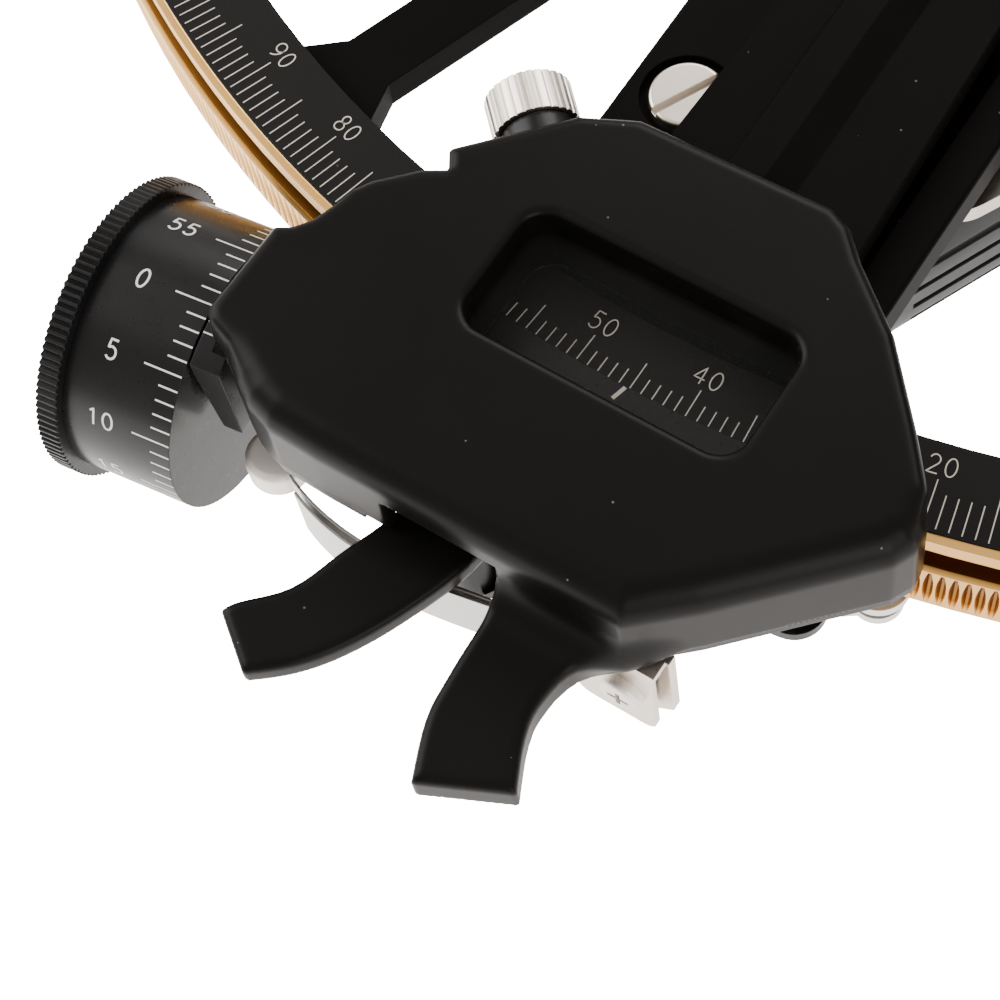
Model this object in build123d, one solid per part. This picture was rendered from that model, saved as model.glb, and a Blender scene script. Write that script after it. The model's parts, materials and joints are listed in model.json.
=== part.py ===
from build123d import *
import os
from math import atan2, cos, degrees, hypot, pi, radians, sin

# Nautical sextant, millimetres.  It is modelled lying face up with the pivot of the index arm on
# the Z axis and the face of the graduated arc at Z = 0, then every piece is raised by FACE_HEIGHT,
# so that the exported origin is the foot under the pivot, on the surface the sextant rests on.
# +Y runs from the arc up to the pivot, +X to the telescope side.
FACE_HEIGHT = 56.0

# Graduated arc.  One degree of reading is half a degree of turn.
READING_AT_REST = 45.0
SCALE_START, SCALE_END = -5.0, 125.0
LEFT_OVERRUN, RIGHT_OVERRUN = 7.0, 18.0
ARC_INNER_R, ARC_PAINT_R, ARC_RIM_R = 150.1, 160.45, 161.5
RIM_BOTTOM, GROOVE_R = -2.35, 159.5
RACK_TOP, RACK_BOTTOM = -5.0, -13.4
ARC_PLATE_BOTTOM, RACK_BACK_R = -4.0, 158.5

# Worm and rack: 720 teeth in a full turn, so that one turn of the drum is one degree of reading.
TEETH_PER_TURN = 720
RACK_PITCH_R = 162.0
TOOTH_PITCH = 2 * pi * RACK_PITCH_R / TEETH_PER_TURN
RACK_R = 162.45
WORM_PITCH_R = 5.9
WORM_OUTER_R, WORM_ROOT_R = 6.35, 5.0
WORM_FROM, WORM_TO, WORM_TURNS = -5.1, 1.3, 4
WORM_Z = -9.4
WORM_FOOT_ANGLE = -83.02
NOTCH_CUTTER_R = 6.6
NOTCH_MOUTH, NOTCH_FLOOR = 1.17, 0.34
NOTCH_LEAN = -1.3
NOTCH_PHASE = 0.78
THREAD_CREST, THREAD_BASE = 0.16, 0.62

# Frame casting
CAST_BOTTOM, CAST_ARC_R = -14.0, 158.3
MEMBER_TOP, MEMBER_BOTTOM = -3.0, -8.4
RIB_BOTTOM, RIB_WIDTH = -13.0, 4.0
STRUT_LEFT, STRUT_RIGHT, STRUT_TOP = -23.2, 18.2, -3.5
SPOKE_ANGLE, SPOKE_WIDTH, SPOKE_BOTTOM = -110.5, 8.2, -6.9
OUTER_WIDTH = 11.0
HEAD_R = 27.0
LEFT_OUTER = [(-97.5, -113.5), (-81, -51), (-50, -9), (-12, 8)]
RIGHT_OUTER = [(80, -125), (56, -56), (12, 8)]
BOSS_R, BOSS_BOTTOM = 13.0, -25.0

# Pivot
PIVOT_R = 5.0
RUNNING_GAP = 0.05
BUSH_R = 8.0

# Optics: the axis of the telescope runs along -X to the horizon mirror.
AXIS_Y, AXIS_Z = -50.0, 36.0
HORIZON_X = -78.0
HORIZON_MIRROR_R = 28.5
INDEX_MIRROR = (57.0, 42.0, 3.5)
SHADE_SIZE, SHADE_GLASS_R, SHADE_THICK, SHADE_STEP = 42.0, 17.0, 2.6, 3.0

# Index arm and its lower end
ARM_TOP, ARM_BOTTOM = 1.2, -2.0
ARM_END_TOP = 0.3
ARM_HALF_TOP, ARM_HALF_END, ARM_END_Y = 7.8, 12.9, -148.6
ARM_STEP_Y = -135.9
PLATE_TOP, PLATE_LOW = 0.9, -1.0
CLEAR_OF_RACK_R = 163.2
COVER_TOP, COVER_WALL, COVER_ROOF = 12.0, 1.6, 1.8
WINDOW_X, WINDOW_HALF, WINDOW_LOW, WINDOW_HIGH, WINDOW_CORNER = 0.4, 17.2, -165.3, -149.0, 3.5
COVER_OUTLINE = [
    (-39.7, -165.4), (-39.9, -177.3), (-38.9, -178.7), (-35.9, -180.0), (-32.9, -182.4),
    (-30.4, -183.9), (-27.0, -184.9), (-21.0, -185.1), (16.5, -184.9), (22.6, -179.4),
    (33.9, -167.7), (36.2, -165.3), (37.4, -162.8), (37.2, -160.6), (35.6, -157.6),
    (31.3, -152.3), (23.9, -143.9), (16.6, -138.0), (13.6, -135.0), (11.0, -133.8),
    (-12.6, -134.4), (-18.8, -137.3), (-28.8, -147.8), (-27.4, -150.0), (-29.8, -151.4),
    (-33.7, -155.2), (-35.1, -157.4), (-35.7, -160.0), (-36.6, -162.6), (-38.0, -164.4),
]
COVER_NOTCH, PLATE_NOTCH = (-12.6, 3.9), (-16.2, 4.4)
COVER_NOTCH_TOP = 6.0
RELEASE_LEVER = [
    (-22.8, -201.9), (-22.3, -200.2), (-18.3, -195.6), (-16.1, -189.5), (-13.9, -183.3), (-13.2, -176.0),
    (-3.2, -176.0), (-3.5, -183.6), (-6.5, -192.3), (-9.7, -198.6), (-13.0, -202.9), (-17.2, -206.2),
]
FIXED_LEVER = [
    (11.2, -176.0), (4.6, -176.0), (1.6, -182.8), (1.5, -187.2), (1.9, -195.2), (2.6, -200.8),
    (5.2, -207.3), (15.0, -202.7), (12.5, -197.3), (11.8, -193.3), (12.9, -188.2), (16.5, -183.0),
]
LEVER_TOP, LEVER_BOTTOM = -0.4, -3.4
FIXED_LEVER_TOP, FIXED_LEVER_BOTTOM = 1.0, -3.6
OVERHANG, OVERHANG_LOW = 5.23, 8.0

# Swinging carriage of the worm and drum
CARRIAGE_PIVOT = (31.0, -158.0)
CARRIAGE_TOP, CARRIAGE_THICK = -16.2, 1.6
LOWER_PLATE_TOP, LOWER_PLATE_THICK = -18.2, 1.4
CARRIAGE_END, SCREW_SEAT = (-32.2, -181.4), -11.0
LEVER_POST = (-8.4, -179.2)
POSTS, POST_R = [(-20.0, -165.2), (6.4, -174.9)], 1.8
SHAFT_R = 2.0
STUD_TOP = -14.6

# Drum, along the worm axis, measured from the point of the axis nearest to the pivot
DRUM_EDGE, DRUM_R, DRUM_LENGTH = 62.7, 16.41, 13.8
KNOB_R, KNOB_LENGTH, KNURLS = 17.9, 2.6, 120
VERNIER_GAP, VERNIER_THICK, VERNIER_REACH = 0.3, 1.9, 3.7

# Handle, behind the frame
HANDLE_LOW, HANDLE_HIGH = (-3.28, -117.6), (50.0, -3.3)
HANDLE_WIDTH, HANDLE_TOP, HANDLE_BOTTOM = 27.0, -19.0, -46.0
CELL_R, CELL_LENGTH = 7.0, 44.0


# ---------------------------------------------------------------- helpers
def direction(angle):
    return Vector(cos(radians(angle)), sin(radians(angle)), 0)


def theta(reading):
    """Direction, in degrees from +X, of a reading on the arc."""
    return -90 - (reading - READING_AT_REST) / 2


def spun(section, start, end):
    """The (radius, height) section swept about the pivot axis from one angle to the other."""
    face = make_face(Polyline([(r, 0, z) for r, z in section], close=True))
    return Rot(0, 0, start) * revolve(face, Axis.Z, end - start)


def prism(points, low, high, corner=0.0):
    """A flat plate with the given outline, its corners rounded by one radius."""
    if corner:
        outline = FilletPolyline(*points, radius=corner, close=True)
    else:
        outline = Polyline(points, close=True)
    return Pos(0, 0, low) * extrude(make_face(outline), high - low, dir=(0, 0, 1))


def disc(x, y, radius, low, high):
    return Pos(x, y, (low + high) / 2) * Cylinder(radius, high - low)


def bar(start, end, width, low, high):
    """A straight bar of rectangular section between two plan points."""
    along = Vector(end[0] - start[0], end[1] - start[1], 0)
    middle = ((start[0] + end[0]) / 2, (start[1] + end[1]) / 2, (low + high) / 2)
    turn = degrees(atan2(along.Y, along.X))
    return Pos(*middle) * Rot(0, 0, turn) * Box(along.length, width, high - low)


def rail(points, width, low, high):
    """Bars through the points, joined by round ends."""
    pieces = [bar(a, b, width, low, high) for a, b in zip(points, points[1:])]
    pieces += [disc(x, y, width / 2, low, high) for x, y in points]
    return union(pieces)


def union(pieces):
    whole = pieces[0]
    for piece in pieces[1:]:
        whole += piece
    return whole


def rod(plane, radius, start, end):
    """A cylinder along the plane's normal between two distances from its origin."""
    return plane * Pos(0, 0, (start + end) / 2) * Cylinder(radius, end - start)


def grown(points, amount):
    """A face with the outline moved in (negative) or out (positive)."""
    face = make_face(FilletPolyline(*points, radius=0.6, close=True))
    return offset(face, amount, kind=Kind.INTERSECTION)


def softened(shape, edges, size):
    """The shape with the edges rounded, at the largest of a few radii that is possible."""
    for radius in (size, size * 0.7, size * 0.45, size * 0.25):
        try:
            result = fillet(edges, radius)
            if result.is_valid:
                return result
        except Exception:
            continue
    return shape


def slotted_head(x, y, radius, low, high, shank_r, shank_low, turn=0):
    head = disc(x, y, radius, low, high)
    head = softened(head, head.edges().group_by(Axis.Z)[-1], 0.5)
    head += disc(x, y, shank_r, shank_low, low)
    slot_depth = 0.45 * (high - low)
    return head - Pos(x, y, high) * Rot(0, 0, turn) * Box(2.2 * radius, 0.22 * radius, 2 * slot_depth)


WORM_TURN = WORM_FOOT_ANGLE + 90
WORM_DISTANCE = RACK_PITCH_R + WORM_PITCH_R
WORM_FOOT = direction(WORM_FOOT_ANGLE) * WORM_DISTANCE + Vector(0, 0, WORM_Z)
WORM_PLANE = Plane(origin=WORM_FOOT, x_dir=(0, 0, 1), z_dir=direction(WORM_TURN))


# ---------------------------------------------------------------- frame
ARC_FROM, ARC_TO = theta(SCALE_END + LEFT_OVERRUN), theta(SCALE_START - RIGHT_OVERRUN)


def graduated_arc():
    """Bronze arc: a flat face for the graduation, a rim, a groove and the toothed rack."""
    section = [
        (ARC_INNER_R, 0), (ARC_PAINT_R, 0), (ARC_PAINT_R + 0.2, -0.15), (ARC_RIM_R, -0.15),
        (ARC_RIM_R, RIM_BOTTOM), (GROOVE_R, RIM_BOTTOM), (GROOVE_R, RACK_TOP), (RACK_R - 0.5, RACK_TOP),
        (RACK_R, RACK_TOP - 0.5), (RACK_R, RACK_BOTTOM), (RACK_BACK_R, RACK_BOTTOM),
        (RACK_BACK_R, ARC_PLATE_BOTTOM), (ARC_INNER_R, ARC_PLATE_BOTTOM),
    ]
    return spun(section, ARC_FROM, ARC_TO) - notches()


def notches():
    """Disc-shaped cutters with tapered rims, one for each tooth gap of the rack."""
    depth = RACK_R - (WORM_DISTANCE - NOTCH_CUTTER_R)
    mouth_r = NOTCH_CUTTER_R - depth
    slope = (NOTCH_MOUTH - NOTCH_FLOOR) / 2 / depth
    inner = NOTCH_MOUTH / 2 + 1.2 * slope
    profile = make_face(Polyline([
        (0, -inner), (mouth_r - 1.2, -inner), (NOTCH_CUTTER_R, -NOTCH_FLOOR / 2),
        (NOTCH_CUTTER_R, NOTCH_FLOOR / 2), (mouth_r - 1.2, inner), (0, inner),
    ], close=True))
    cutter = revolve(profile, Axis.Y)
    cutters = []
    first, last = int(SCALE_START) - 17, int(SCALE_END) + 5
    for tooth in range(first, last):
        angle = theta(tooth + NOTCH_PHASE)
        place = direction(angle) * WORM_DISTANCE + Vector(0, 0, WORM_Z)
        cutters.append(Pos(*place) * Rot(0, 0, angle) * Rot(NOTCH_LEAN, 0, 0) * cutter)
    return cutters


def frame_casting():
    arc = spun([(ARC_INNER_R, CAST_BOTTOM), (CAST_ARC_R, CAST_BOTTOM), (CAST_ARC_R, ARC_PLATE_BOTTOM),
                (ARC_INNER_R, ARC_PLATE_BOTTOM)], ARC_FROM, ARC_TO)
    spoke = [tuple(direction(SPOKE_ANGLE) * r)[:2] for r in (15, ARC_INNER_R + 2)]
    body = arc + strut()
    body += bar(*spoke, SPOKE_WIDTH, SPOKE_BOTTOM, MEMBER_TOP)
    body += gusset(SPOKE_ANGLE, SPOKE_WIDTH)
    for path in (LEFT_OUTER, RIGHT_OUTER):
        body += rail(path, OUTER_WIDTH, MEMBER_BOTTOM, MEMBER_TOP)
        body += rail(path, RIB_WIDTH, RIB_BOTTOM, MEMBER_BOTTOM)
    body += disc(0, 0, HEAD_R, RIB_BOTTOM, MEMBER_TOP) + disc(0, 0, BOSS_R, BOSS_BOTTOM, RIB_BOTTOM)
    body += disc(*LEFT_OUTER[1], 13, RIB_BOTTOM, MEMBER_TOP) + disc(*LEFT_OUTER[2], 11, RIB_BOTTOM, MEMBER_TOP)
    body += disc(*RIGHT_OUTER[1], 13, RIB_BOTTOM, MEMBER_TOP)
    for leg in LEG_PLACES:
        body += disc(*leg, 8, CAST_BOTTOM, ARC_PLATE_BOTTOM)
    bronze = spun([(ARC_INNER_R - 0.05, ARC_PLATE_BOTTOM), (170, ARC_PLATE_BOTTOM), (170, 5),
                   (ARC_INNER_R - 0.05, 5)], ARC_FROM - 3, ARC_TO + 3)
    outside = spun([(CAST_ARC_R, -20), (175, -20), (175, 0), (CAST_ARC_R, 0)], ARC_FROM - 3, ARC_TO + 3)
    body = body - bronze - outside - disc(0, 0, BUSH_R, BOSS_BOTTOM, MEMBER_TOP)
    for x, y in STRUT_SCREWS:
        body -= disc(x, y, 5.6, STRUT_TOP - 1.2, STRUT_TOP + 1) + disc(x, y, 2.6, CAST_BOTTOM, STRUT_TOP)
    for x, y in arc_screw_places():
        body -= disc(x, y, 2.7, CAST_BOTTOM, CAST_BOTTOM + 1.5)
        body -= disc(x, y, 1.4, CAST_BOTTOM, CAST_BOTTOM + 6.1)
    return body


def gusset(angle, width):
    """Flared foot where a spoke meets the inside of the arc."""
    flare, reach = 4.0, 5.5
    across = direction(angle + 90)
    foot = direction(angle) * (ARC_INNER_R + 1)
    neck = direction(angle) * (ARC_INNER_R - reach)
    corners = [foot + across * (width / 2 + flare), neck + across * (width / 2),
               neck - across * (width / 2), foot - across * (width / 2 + flare)]
    return prism([(c.X, c.Y) for c in corners], SPOKE_BOTTOM, MEMBER_TOP)


STRUT_SCREWS = [(-15.9, -120.8), (-15.9, -82.0)]
LEG_PLACES = [(-91.3, -90.0), (75.0, -124.5)]


def strut():
    """Wide central strut with a rounded channel in front and a pocket behind."""
    block = Pos((STRUT_LEFT + STRUT_RIGHT) / 2, -84, (STRUT_TOP + CAST_BOTTOM) / 2) * Box(
        STRUT_RIGHT - STRUT_LEFT, 136, STRUT_TOP - CAST_BOTTOM)
    edges = block.edges().filter_by(Axis.Y).group_by(Axis.Z)[-1]
    block = softened(block, edges, 0.6)
    channel_low, channel_high = -145.0, -30.0
    channel = Pos(1.8, (channel_low + channel_high) / 2, STRUT_TOP) * Box(23, channel_high - channel_low, 11)
    channel = fillet(channel.edges().filter_by(Axis.Y).group_by(Axis.Z)[0], 4.0)
    pocket = Pos(2.5, (channel_low + channel_high) / 2, CAST_BOTTOM) * Box(21, channel_high - channel_low, 6)
    steps = [Pos(x, -84, MEMBER_BOTTOM - 5) * Box(8, 140, 10) for x in (STRUT_LEFT - 0.1, STRUT_RIGHT + 0.1)]
    return block - channel - pocket - steps


def pivot_bush():
    return disc(0, 0, BUSH_R, BOSS_BOTTOM, MEMBER_TOP) - disc(0, 0, PIVOT_R + RUNNING_GAP, -30, 0)


def leg(x, y, top, bottom, wide, narrow):
    """Turned leg, waisted towards its foot."""
    section = [(0, bottom), (narrow, bottom), (narrow, bottom + 6), (wide * 0.75, (top + bottom) / 2),
               (wide, top - 3), (wide, top), (0, top)]
    return Pos(x, y, 0) * spun(section, 0, 360)


PAD_BOTTOM, PAD_TOP, PAD_R = -FACE_HEIGHT, -FACE_HEIGHT + 5, 7.0


def legs():
    """Two legs on the arc, and one over the boss that shields the end of the pivot."""
    hollow = disc(0, 0, BOSS_R, BOSS_BOTTOM, RIB_BOTTOM) + disc(0, 0, 9, -34, BOSS_BOTTOM)
    pivot_leg = leg(0, 0, RIB_BOTTOM, PAD_TOP, 16.0, 8.0) - hollow
    return [pivot_leg] + [leg(x, y, CAST_BOTTOM, PAD_TOP, 7.0, 5.0) for x, y in LEG_PLACES]


def leg_pads():
    pads = []
    for x, y in [(0, 0)] + LEG_PLACES:
        pad = disc(x, y, PAD_R, PAD_BOTTOM, PAD_TOP)
        pads.append(softened(pad, pad.edges().filter_by(GeomType.CIRCLE), 1.0))
    return pads


def arc_screw_places():
    places = [direction(theta(reading)) * 154.0 for reading in (0, 24, 48, 72, 96, 120)]
    return [(place.X, place.Y) for place in places]


def arc_screws():
    """Slotted screws let into the back of the casting, which hold the arc."""
    screw = slotted_head(0, 0, 2.6, -1.4, 0, 1.3, -6, 40)
    turned = Rot(180, 0, 0) * screw
    return [Pos(x, y, CAST_BOTTOM) * turned for x, y in arc_screw_places()]


def strut_screws():
    return [slotted_head(x, y, 4.5, STRUT_TOP - 1.2, STRUT_TOP + 0.5, 2.5, -16.5, 62) for x, y in STRUT_SCREWS]


# ---------------------------------------------------------------- handle
def handle_plane():
    """Plane whose normal runs up the handle and whose x is across it, to the right."""
    along = Vector(HANDLE_HIGH[0] - HANDLE_LOW[0], HANDLE_HIGH[1] - HANDLE_LOW[1], 0).normalized()
    middle = (HANDLE_TOP + HANDLE_BOTTOM) / 2
    return Plane(origin=(HANDLE_LOW[0], HANDLE_LOW[1], middle), x_dir=(along.Y, -along.X, 0), z_dir=along)


HANDLE_LENGTH = hypot(HANDLE_HIGH[0] - HANDLE_LOW[0], HANDLE_HIGH[1] - HANDLE_LOW[1])
HANDLE_DEPTH = HANDLE_TOP - HANDLE_BOTTOM


def handle_grip():
    """Moulded grip with lengthwise grooves, bored for the battery cells."""
    plane = handle_plane()
    body = plane * extrude(RectangleRounded(HANDLE_WIDTH, HANDLE_DEPTH, 11), HANDLE_LENGTH)
    body = softened(body, body.faces().sort_by(Axis(plane.origin, plane.z_dir))[0].edges(), 4)
    for row in range(4):
        for side in (-1, 1):
            place = Pos(side * (HANDLE_WIDTH / 2 + 0.3), 5.25 - 3.5 * row, HANDLE_LENGTH / 2)
            body -= plane * place * Box(2.0, 1.1, HANDLE_LENGTH - 16)
    bore = rod(plane, CELL_R + 0.3, 0, 2 * CELL_LENGTH + 6)
    return body - bore - button_pocket()


def battery_cells():
    plane = handle_plane()
    cells = []
    for cell in range(2):
        start = 4.5 + cell * (CELL_LENGTH + 0.8)
        can = rod(plane, CELL_R, start, start + CELL_LENGTH - 1)
        cells.append(can + rod(plane, 2.4, start + CELL_LENGTH - 1, start + CELL_LENGTH))
    return cells


def battery_cap():
    """Screw plug with a coin slot that closes the bore at the lower end."""
    plane = handle_plane()
    cap = rod(plane, 9.5, -3, 0) + rod(plane, CELL_R + 0.2, 0, 4)
    return cap - plane * Pos(0, 0, -3) * Box(16, 1.8, 2.4)


BUTTON_AT = HANDLE_LENGTH - 14


def button_pocket():
    return handle_plane() * Pos(HANDLE_WIDTH / 2 - 2.5, 0, BUTTON_AT) * Rot(0, 90, 0) * Cylinder(4.35, 5.2)


def switch_button():
    """Push button for the scale lamp, on the side of the grip under the thumb."""
    button = Pos(HANDLE_WIDTH / 2 + 0.2, 0, BUTTON_AT) * Rot(0, 90, 0) * Cylinder(4.0, 4.0)
    return handle_plane() * button


def handle_bracket_lower():
    """Plated bracket from the back of the strut down to the lower end of the grip."""
    plate = prism([(-21, -128), (-6, -128), (17, -112), (25, -97), (20, -84), (-21, -74)],
                  CAST_BOTTOM - 2.5, CAST_BOTTOM, 5)
    lug = bar((5, -99.8), (16, -76.2), 18, HANDLE_TOP, CAST_BOTTOM - 2.5)
    holes = [disc(x, y, 2.55, -20, -10) for x, y in STRUT_SCREWS]
    return (plate + lug) - union(holes)


def handle_bracket_upper():
    plate = prism([(24, -26), (36, -38), (58, -12), (54, 4), (40, 2)], RIB_BOTTOM - 2.5, RIB_BOTTOM, 4)
    return plate + bar((41, -22.6), (50, -3.3), 16, HANDLE_TOP, RIB_BOTTOM - 2.5)


# ---------------------------------------------------------------- optics
HORIZON = Vector(HORIZON_X, AXIS_Y, AXIS_Z)
RAY = Vector(HORIZON_X, AXIS_Y, 0).normalized()
RAY_ANGLE = degrees(atan2(RAY.Y, RAY.X))
HORIZON_NORMAL = (Vector(1, 0, 0) - RAY).normalized()
HORIZON_PLANE = Plane(origin=HORIZON, x_dir=(0, 0, 1), z_dir=HORIZON_NORMAL)
PEDESTAL, PEDESTAL_R = (HORIZON_X - 5.8, AXIS_Y - 1.7), 9.0


def horizon_mirror():
    return rod(HORIZON_PLANE, HORIZON_MIRROR_R, -3, 0)


def horizon_mirror_frame():
    """Ring behind the glass with three clips, on a pedestal on the frame."""
    ring = rod(HORIZON_PLANE, 30.5, -7, -3) - rod(HORIZON_PLANE, 25.5, -8, -2)
    lip = rod(HORIZON_PLANE, 30.5, -3, 0.4) - rod(HORIZON_PLANE, 28.7, -3, 1)
    body = ring + lip
    for turn in (30, 150, 270):
        clip = Pos(28.6, 0, 0.9) * Box(4.4, 5, 1.0)
        body += HORIZON_PLANE * Rot(0, 0, turn) * (clip + Pos(30.0, 0, -1.3) * Box(1.6, 5, 5.4))
    foot = HORIZON_PLANE * Pos(-33.5, 0, -6) * Box(11, 22, 6)
    foot += disc(*PEDESTAL, PEDESTAL_R, MEMBER_TOP, 1.0)
    rest = Pos(0, 0, 50 + MEMBER_TOP) * Box(400, 400, 100)
    return body + (foot & rest)


def horizon_adjust_screws():
    """Square-headed screws behind the ring that tilt the mirror."""
    screw = Pos(28.0, 0, -10) * Box(3.2, 3.2, 3.0) + Pos(28.0, 0, -8.0) * Cylinder(1.4, 2.0)
    return [HORIZON_PLANE * Rot(0, 0, turn) * screw for turn in (0, 121)]


def shade(plane, index):
    """One shade standing in the light path: (frame, glass) in the plane's own axes."""
    place = Pos(0, 0, SHADE_STEP * index)
    outer = extrude(RectangleRounded(SHADE_SIZE, SHADE_SIZE, 6), SHADE_THICK)
    reach = Pos(PIN_SIDE, -PIN_UP, 0) * extrude(Circle(5.5), SHADE_THICK)
    neck = Pos(PIN_SIDE * 0.8, -PIN_UP * 0.8, 0) * Rot(0, 0, -42) * extrude(Rectangle(14, 11), SHADE_THICK)
    body = outer + reach + neck - Pos(0, 0, SHADE_THICK / 2) * Cylinder(SHADE_GLASS_R, 2 * SHADE_THICK)
    body -= Pos(PIN_SIDE, -PIN_UP, 0) * Cylinder(2.0 + RUNNING_GAP, 4 * SHADE_THICK)
    glass = Pos(0, 0, SHADE_THICK / 2) * Cylinder(SHADE_GLASS_R, 1.8)
    stow = Pos(PIN_SIDE, -PIN_UP, 0) * Rot(0, 0, SHADE_STOW) * Pos(-PIN_SIDE, PIN_UP, 0)
    return plane * place * stow * body, plane * place * stow * glass


PIN_SIDE, PIN_UP, SHADE_STOW = 24.0, 22.0, -90
INDEX_SHADE_END, HORIZON_SHADE_END = 51.0, 34.0
INDEX_SHADE_PLANE = Plane(origin=RAY * INDEX_SHADE_END + Vector(0, 0, AXIS_Z),
                          x_dir=(RAY.Y, -RAY.X, 0), z_dir=RAY * -1)
HORIZON_SHADE_PLANE = Plane(origin=HORIZON - Vector(HORIZON_SHADE_END, 0, 0), x_dir=(0, 1, 0), z_dir=(1, 0, 0))


def shade_bracket(plane, count, feet):
    """Pin with two ears that stand on a foot on the frame."""
    stack = SHADE_STEP * count
    low = MEMBER_TOP - AXIS_Z
    ears = []
    for start in (-3.6, stack):
        ear = Pos(PIN_SIDE, (low - PIN_UP) / 2, start + 1.6) * Box(11, -low - PIN_UP, 3.2)
        ears.append(ear + Pos(PIN_SIDE, -PIN_UP, start + 1.6) * Cylinder(5.5, 3.2))
    base = Pos(PIN_SIDE, low + 1.5, stack / 2) * Box(11, 3, stack + 7)
    pin = Pos(PIN_SIDE, -PIN_UP, stack / 2) * Cylinder(2.0, stack + 9)
    return plane * (ears[0] + ears[1] + base + pin) + feet


def index_shade_bracket():
    feet = disc(*LEFT_OUTER[2], 9.0, MEMBER_TOP, MEMBER_TOP + 3)
    return shade_bracket(INDEX_SHADE_PLANE, 4, feet)


def horizon_shade_bracket():
    feet = bar((-71, -36), (-104, -26), 10, MEMBER_TOP, MEMBER_TOP + 3)
    return shade_bracket(HORIZON_SHADE_PLANE, 3, feet)


TELESCOPE_PLANE = Plane(origin=(0, AXIS_Y, AXIS_Z), x_dir=(0, 1, 0), z_dir=(1, 0, 0))


def tube(outer, inner, start, end):
    return rod(TELESCOPE_PLANE, outer, start, end) - rod(TELESCOPE_PLANE, inner, start - 1, end + 1)


def telescope_tube():
    body = rod(TELESCOPE_PLANE, 24.0, 26, 84) + rod(TELESCOPE_PLANE, 25.0, 26, 34)
    body += rod(TELESCOPE_PLANE, 16.0, 84, 126)
    cone = TELESCOPE_PLANE * Pos(0, 0, 88) * Cone(24.0, 16.0, 8)
    body += cone
    return body - rod(TELESCOPE_PLANE, 21.0, 20, 80) - rod(TELESCOPE_PLANE, 13.5, 70, 130)


def objective_lens():
    lens = rod(TELESCOPE_PLANE, 21.0, 30, 36)
    return softened(lens, lens.edges().filter_by(GeomType.CIRCLE), 1.5)


def focus_sleeve():
    sleeve = tube(19.5, 16.0 + RUNNING_GAP, 108, 130) + tube(19.5, 10.5, 130, 137)
    ribs = [TELESCOPE_PLANE * Rot(0, 0, 15 * k) * Pos(19.6, 0, 119) * Box(1.0, 2.0, 14) for k in range(24)]
    return union([sleeve] + ribs)


def ocular_lens():
    return rod(TELESCOPE_PLANE, 10.5, 131, 135)


def eyecup():
    cup = tube(20.5, 14.0, 137, 145) + tube(20.5, 19.5, 132, 137)
    return softened(cup, cup.edges().filter_by(GeomType.CIRCLE).group_by(Axis.X)[-1], 1.5)


def telescope_bracket():
    ring = tube(29.0, 24.0, 48, 62)
    post = Pos(56, -55, (MEMBER_TOP + 12) / 2) * Box(14, 22, 12 - MEMBER_TOP)
    lug = Pos(55, AXIS_Y - 29, AXIS_Z) * Box(14, 7, 12)
    body = ring + (post - rod(TELESCOPE_PLANE, 26, 40, 70)) + lug
    return body - rod(CLAMP_PLANE, 2.05, -10, 20)


CLAMP_PLANE = Plane(origin=(55, AXIS_Y - 32.5, AXIS_Z), x_dir=(1, 0, 0), z_dir=(0, -1, 0))


def telescope_clamp_screw():
    """Knurled screw that holds the telescope in its collar."""
    knob = rod(CLAMP_PLANE, 6.0, 0.3, 8) + rod(CLAMP_PLANE, 2.0, -7.0, 0.3)
    grips = [CLAMP_PLANE * Rot(0, 0, 20 * k) * Pos(6.2, 0, 4.2) * Cylinder(0.6, 7) for k in range(18)]
    return knob - union(grips)


# ---------------------------------------------------------------- index arm
def arm_half(y):
    return ARM_HALF_TOP + (ARM_HALF_END - ARM_HALF_TOP) * y / -130.0


def index_arm():
    y = ARM_END_Y
    outline = [(-arm_half(0), 0), (-arm_half(y), y), (arm_half(y), y), (arm_half(0), 0)]
    body = prism(outline, ARM_BOTTOM, ARM_TOP) + disc(0, 0, 19, ARM_BOTTOM, ARM_TOP)
    body -= Pos(0, ARM_STEP_Y - 20, ARM_END_TOP + 5) * Box(60, 40, 10)
    rib = Plane.XZ.offset(24) * make_face(Polyline(
        (-5.6, ARM_TOP - 0.1), (-4.8, ARM_TOP + 1.6), (-0.4, ARM_TOP + 1.6), (3.4, ARM_TOP - 0.1), close=True))
    body += extrude(rib, -24 - ARM_STEP_Y, dir=(0, -1, 0))
    return body - disc(0, 0, PIVOT_R, -5, 5)


def pivot_shaft():
    """Shaft fixed in the arm's hub, with a retaining collar below the bush."""
    shaft = disc(0, 0, PIVOT_R, -29, ARM_TOP) + disc(0, 0, 7.5, -29, BOSS_BOTTOM - 0.3)
    return shaft


def cover_region(inset, low, high):
    return Pos(0, 0, low) * extrude(grown(COVER_OUTLINE, inset), high - low, dir=(0, 0, 1))


def outside_rack(low, high):
    return disc(0, 0, 260, low, high) - disc(0, 0, CLEAR_OF_RACK_R, low, high)


def window_block(grow, low, high):
    width = 2 * (WINDOW_HALF + grow)
    height = WINDOW_HIGH - WINDOW_LOW + 2 * grow
    face = RectangleRounded(width, height, WINDOW_CORNER + grow)
    return Pos(WINDOW_X, (WINDOW_LOW + WINDOW_HIGH) / 2, low) * extrude(face, high - low)


def lever_gap(sides, low, high):
    left, right = sides
    return Pos((left + right) / 2, -181, (low + high) / 2) * Box(right - left, 20, high - low)


def over_vernier(margin=0.0):
    """Space over the vernier and drum that the end of the cover hangs over."""
    x, y = along_worm(OVERHANG + margin - DRUM_EDGE - 25)
    return Pos(x, y, OVERHANG_LOW - 15) * Rot(0, 0, WORM_TURN) * Box(50, 60, 30)


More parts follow.
